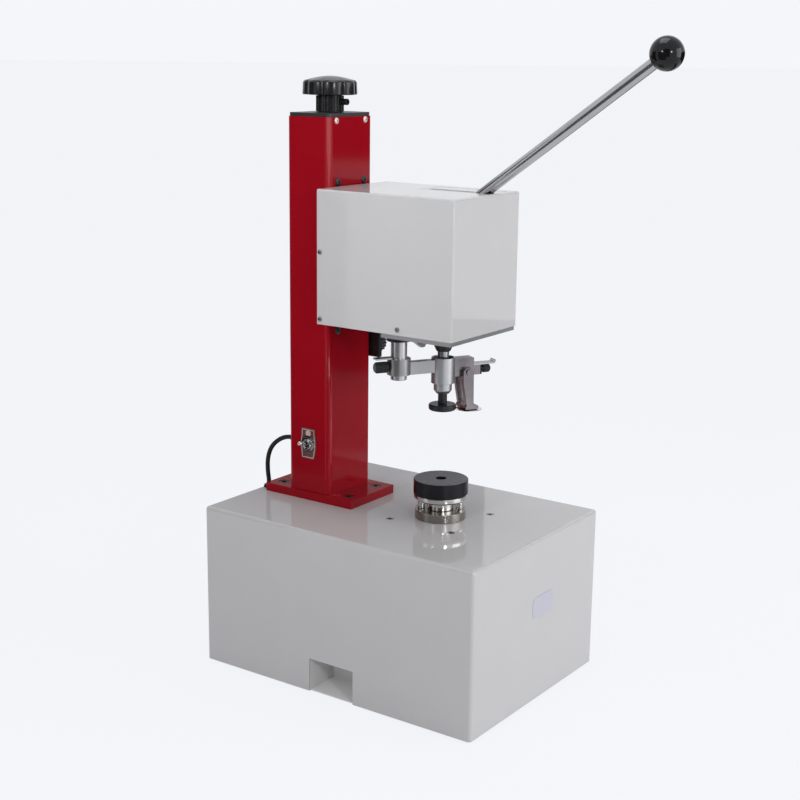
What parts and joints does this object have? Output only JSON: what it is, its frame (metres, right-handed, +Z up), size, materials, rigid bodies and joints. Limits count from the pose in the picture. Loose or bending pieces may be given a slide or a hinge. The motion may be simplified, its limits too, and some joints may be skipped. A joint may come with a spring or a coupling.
{
  "type": "vial_crimping_machine",
  "caption": "Bench vial crimper: grey base with a turntable, red column, height-adjustable head, long ball lever and a spring crimping unit with a roller on a swinging fork",
  "frame": {"origin": "middle of the surface the machine stands on", "axes": "+Z up, the operator stands on the -Y side and the column is towards +Y"},
  "size_m": [0.266, 0.4984, 0.7214],
  "materials": {
    "grey_enamel": "gloss light grey enamel",
    "grey_sheet": "cold-rolled plate",
    "red_paint": "gloss dark red coating",
    "black_plastic": "satin black moulding",
    "black_gloss": "polished black phenolic",
    "black_steel": "black oxide",
    "rubber": "soft black",
    "chrome": "polished chrome plate",
    "aluminium": "turned",
    "steel": "turned and ground",
    "brass": "machined bronze",
    "motor_grey": "satin"
  },
  "bodies": {
    "frame": {"base_housing": "grey_enamel", "bottom_panel": "grey_sheet", "rubber_mat": "rubber", "mains_inlet": "black_plastic", "bearing_housing": "grey_sheet", "housing_screws": "steel", "table_flange": "steel", "table_flange_screws": "steel", "drive_motor": "motor_grey", "drive_belt": "rubber", "column": "red_paint", "column_bolts": "steel", "column_cap": "black_plastic", "cap_screws": "steel", "rail_screws": "black_steel", "guide_rails": "steel", "knob_collar": "aluminium", "switch_body": "chrome", "switch_plate": "black_plastic", "lead_grommets": "rubber", "switch_lead": "rubber"},
    "turntable": {"table_shaft": "steel", "table_disc": "chrome", "table_pad": "rubber"},
    "motor_rotor": {"motor_pulley": "black_steel"},
    "height_knob": {"star_knob": "black_plastic", "lead_screw": "steel"},
    "collar_screw": {"collar_lock_screw": "black_steel"},
    "toggle": {"switch_bat": "chrome"},
    "head": {"head_cover": "grey_enamel", "cover_screws": "steel", "carriage_plate": "grey_sheet", "lift_nut": "brass", "head_floor": "grey_sheet", "shaft_brackets": "grey_sheet", "quill_guide": "steel", "nose_seal": "black_steel", "post_bush": "black_steel", "lock_bracket": "steel"},
    "head_lock": {"lock_knob": "black_plastic"},
    "lever": {"lever_rod": "chrome", "lever_ball": "black_gloss", "lever_hub": "steel", "cross_shaft": "chrome", "pinion": "steel"},
    "crimp_unit": {"quill": "steel", "unit_cylinder": "aluminium", "collar_nut": "aluminium", "post_arm": "steel", "guide_post": "chrome", "crimp_block": "steel", "leaf_strips": "steel"},
    "clamp_screw": {"clamp_thumb_screw": "black_plastic"},
    "depth_screw": {"depth_thumb_screw": "black_plastic"},
    "press": {"press_stem": "black_steel", "press_spring": "steel"},
    "press_plate": {"press_disc": "black_steel"},
    "fork": {"crimp_fork": "steel", "fork_spring": "steel"},
    "wheel": {"crimp_wheel": "steel"}
  },
  "joints": [
    {"name": "head_height", "type": "slide", "parent": "frame", "child": "head", "axis": [0, 0, 1], "range_m": [-0.045, 0.045]},
    {"name": "height_knob_turn", "type": "hinge", "parent": "frame", "child": "height_knob", "pos_m": [0, 0.105, 0.655], "axis": [0, 0, 1], "range_deg": [-4055, 4055]},
    {"name": "collar_screw_turn", "type": "hinge", "parent": "frame", "child": "collar_screw", "pos_m": [0, 0.0893, 0.64778], "axis": [0, -1, 0], "range_deg": [0, 360]},
    {"name": "toggle_tilt", "type": "hinge", "parent": "frame", "child": "toggle", "pos_m": [-0.04, 0.105, 0.258], "axis": [0, 1, 0], "range_deg": [-24, 0]},
    {"name": "turntable_spin", "type": "hinge", "parent": "frame", "child": "turntable", "pos_m": [0, -0.054, 0.2], "axis": [0, 0, 1], "continuous": true},
    {"name": "motor_spin", "type": "hinge", "parent": "frame", "child": "motor_rotor", "pos_m": [0, 0.07, 0.11], "axis": [0, 0, 1], "continuous": true},
    {"name": "head_lock_turn", "type": "hinge", "parent": "head", "child": "head_lock", "pos_m": [0.055, 0.08, 0.366], "axis": [1, 0, 0], "range_deg": [0, 360]},
    {"name": "lever_swing", "type": "hinge", "parent": "head", "child": "lever", "pos_m": [0.02, -0.02, 0.5065], "axis": [1, 0, 0], "range_deg": [-42.1, 0]},
    {"name": "unit_lift", "type": "slide", "parent": "head", "child": "crimp_unit", "axis": [0, 0, 1], "range_m": [0, 0.0165]},
    {"name": "clamp_screw_turn", "type": "hinge", "parent": "crimp_unit", "child": "clamp_screw", "pos_m": [-0.06495, -0.0165, 0.369], "axis": [-0.866, 0.5, 0], "range_deg": [0, 360]},
    {"name": "depth_screw_turn", "type": "hinge", "parent": "crimp_unit", "child": "depth_screw", "pos_m": [0.0459, -0.0805, 0.3585], "axis": [0.866, -0.5, 0], "range_deg": [0, 360]},
    {"name": "press_give", "type": "slide", "parent": "crimp_unit", "child": "press", "axis": [0, 0, 1], "range_m": [0, 0.006], "deforming": ["press_spring"]},
    {"name": "press_plate_spin", "type": "hinge", "parent": "press", "child": "press_plate", "pos_m": [0, -0.054, 0.319], "axis": [0, 0, 1], "continuous": true},
    {"name": "fork_swing", "type": "hinge", "parent": "crimp_unit", "child": "fork", "pos_m": [0.02252, -0.067, 0.358], "axis": [0.5, 0.866, 0], "range_deg": [0, 9]},
    {"name": "wheel_spin", "type": "hinge", "parent": "fork", "child": "wheel", "pos_m": [0.02858, -0.0705, 0.3135], "axis": [0, 0, 1], "continuous": true}
  ],
  "couplings": [
    {"joint": "height_knob_turn", "follows": "head_height", "rad_per_m": -1570.8},
    {"joint": "lever_swing", "follows": "unit_lift", "rad_per_m": -44.444},
    {"joint": "motor_spin", "follows": "turntable_spin", "ratio": 2.3688},
    {"joint": "press_give", "follows": "fork_swing", "m_per_rad": 0.0382}
  ]
}
